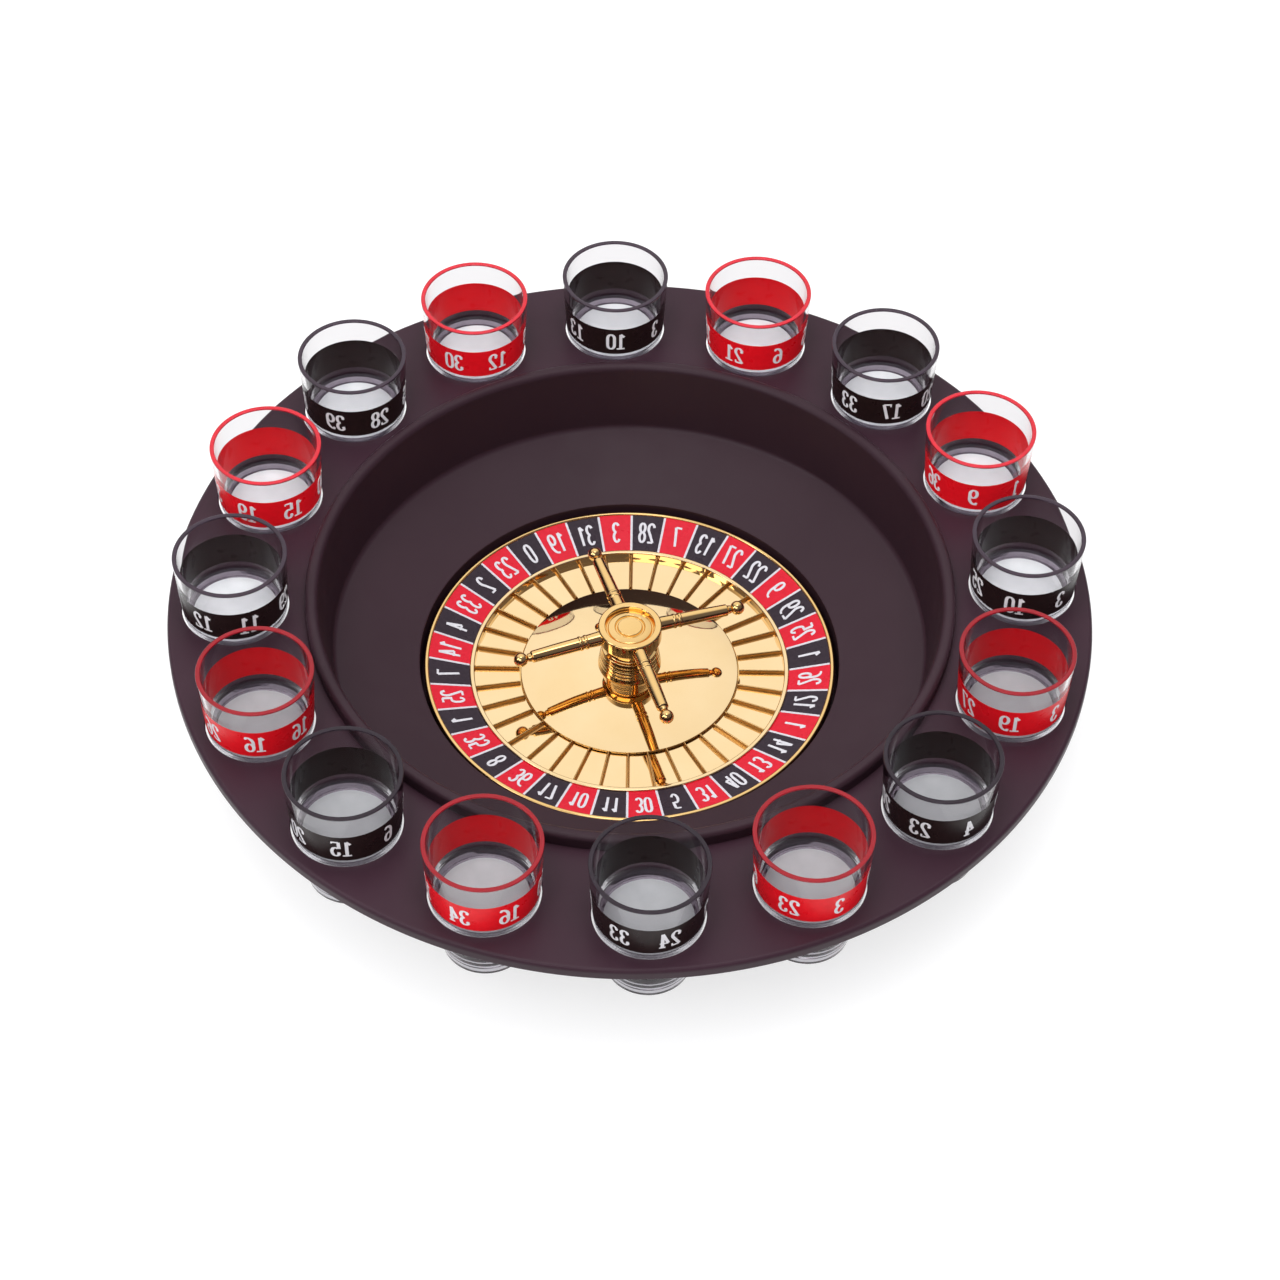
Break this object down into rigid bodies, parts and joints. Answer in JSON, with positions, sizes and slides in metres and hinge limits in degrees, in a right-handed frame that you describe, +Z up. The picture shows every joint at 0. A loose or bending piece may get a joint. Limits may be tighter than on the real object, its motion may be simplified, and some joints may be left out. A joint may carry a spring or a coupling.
{
  "type": "roulette drinking game set",
  "caption": "Round tabletop tray with a bowl in its middle, a spinning numbered wheel with a turret, and printed shot glasses standing in holes round the rim.",
  "frame": {"origin": "on the table under the wheel's axis, at the bottom centre of the overall box", "axes": "+Z up along the wheel's axis; -Y towards the side from which the set is usually seen, where the first black glass stands slightly to +X"},
  "size_m": [0.29, 0.29, 0.0681],
  "materials": {
    "tray_plastic": "satin moulded plastic",
    "gold_plating": "gold metallised, mirror bright",
    "number_print": "printed in red and black sectors with white numbers",
    "steel": "turned",
    "brass": "turned",
    "nylon": "natural",
    "rubber": "matte",
    "black_printed_glass": "clear glass with a black printed band and white numbers",
    "red_printed_glass": "clear glass with a red printed band and white numbers"
  },
  "bodies": {
    "tray": {"tray_rim": "tray_plastic", "bowl_collar": "tray_plastic", "ball_track": "tray_plastic", "wheel_well": "tray_plastic", "foot_1": "rubber", "foot_2": "rubber", "foot_3": "rubber", "foot_4": "rubber", "spindle": "steel", "spindle_nut": "steel", "thrust_washer": "nylon", "retaining_clip": "steel"},
    "wheel": {"rotor_plate": "gold_plating", "outer_trim": "gold_plating", "number_ring": "number_print", "pocket_ring": "gold_plating", "centre_dome": "gold_plating", "hub_bush": "brass", "turret_base": "gold_plating", "turret_column": "gold_plating", "turret_cap": "gold_plating", "turret_arm_1": "gold_plating", "turret_arm_2": "gold_plating", "turret_arm_3": "gold_plating", "turret_arm_4": "gold_plating", "arm_knob_1": "gold_plating", "arm_knob_2": "gold_plating", "arm_knob_3": "gold_plating", "arm_knob_4": "gold_plating"},
    "glass_01": {"glass_01": "black_printed_glass"},
    "glass_02": {"glass_02": "red_printed_glass"},
    "glass_03": {"glass_03": "black_printed_glass"},
    "glass_04": {"glass_04": "red_printed_glass"},
    "glass_05": {"glass_05": "black_printed_glass"},
    "glass_06": {"glass_06": "red_printed_glass"},
    "glass_07": {"glass_07": "black_printed_glass"},
    "glass_08": {"glass_08": "red_printed_glass"},
    "glass_09": {"glass_09": "black_printed_glass"},
    "glass_10": {"glass_10": "red_printed_glass"},
    "glass_11": {"glass_11": "black_printed_glass"},
    "glass_12": {"glass_12": "red_printed_glass"},
    "glass_13": {"glass_13": "black_printed_glass"},
    "glass_14": {"glass_14": "red_printed_glass"},
    "glass_15": {"glass_15": "black_printed_glass"},
    "glass_16": {"glass_16": "red_printed_glass"}
  },
  "joints": [
    {"name": "wheel_spin", "type": "hinge", "parent": "tray", "child": "wheel", "pos_m": [0, 0, 0.008], "axis": [0, 0, 1], "continuous": true},
    {"name": "glass_01_lift", "type": "slide", "parent": "tray", "child": "glass_01", "axis": [0, 0, 1], "range_m": [0, 0.06]},
    {"name": "glass_02_lift", "type": "slide", "parent": "tray", "child": "glass_02", "axis": [0, 0, 1], "range_m": [0, 0.06]},
    {"name": "glass_03_lift", "type": "slide", "parent": "tray", "child": "glass_03", "axis": [0, 0, 1], "range_m": [0, 0.06]},
    {"name": "glass_04_lift", "type": "slide", "parent": "tray", "child": "glass_04", "axis": [0, 0, 1], "range_m": [0, 0.06]},
    {"name": "glass_05_lift", "type": "slide", "parent": "tray", "child": "glass_05", "axis": [0, 0, 1], "range_m": [0, 0.06]},
    {"name": "glass_06_lift", "type": "slide", "parent": "tray", "child": "glass_06", "axis": [0, 0, 1], "range_m": [0, 0.06]},
    {"name": "glass_07_lift", "type": "slide", "parent": "tray", "child": "glass_07", "axis": [0, 0, 1], "range_m": [0, 0.06]},
    {"name": "glass_08_lift", "type": "slide", "parent": "tray", "child": "glass_08", "axis": [0, 0, 1], "range_m": [0, 0.06]},
    {"name": "glass_09_lift", "type": "slide", "parent": "tray", "child": "glass_09", "axis": [0, 0, 1], "range_m": [0, 0.06]},
    {"name": "glass_10_lift", "type": "slide", "parent": "tray", "child": "glass_10", "axis": [0, 0, 1], "range_m": [0, 0.06]},
    {"name": "glass_11_lift", "type": "slide", "parent": "tray", "child": "glass_11", "axis": [0, 0, 1], "range_m": [0, 0.06]},
    {"name": "glass_12_lift", "type": "slide", "parent": "tray", "child": "glass_12", "axis": [0, 0, 1], "range_m": [0, 0.06]},
    {"name": "glass_13_lift", "type": "slide", "parent": "tray", "child": "glass_13", "axis": [0, 0, 1], "range_m": [0, 0.06]},
    {"name": "glass_14_lift", "type": "slide", "parent": "tray", "child": "glass_14", "axis": [0, 0, 1], "range_m": [0, 0.06]},
    {"name": "glass_15_lift", "type": "slide", "parent": "tray", "child": "glass_15", "axis": [0, 0, 1], "range_m": [0, 0.06]},
    {"name": "glass_16_lift", "type": "slide", "parent": "tray", "child": "glass_16", "axis": [0, 0, 1], "range_m": [0, 0.06]}
  ]
}
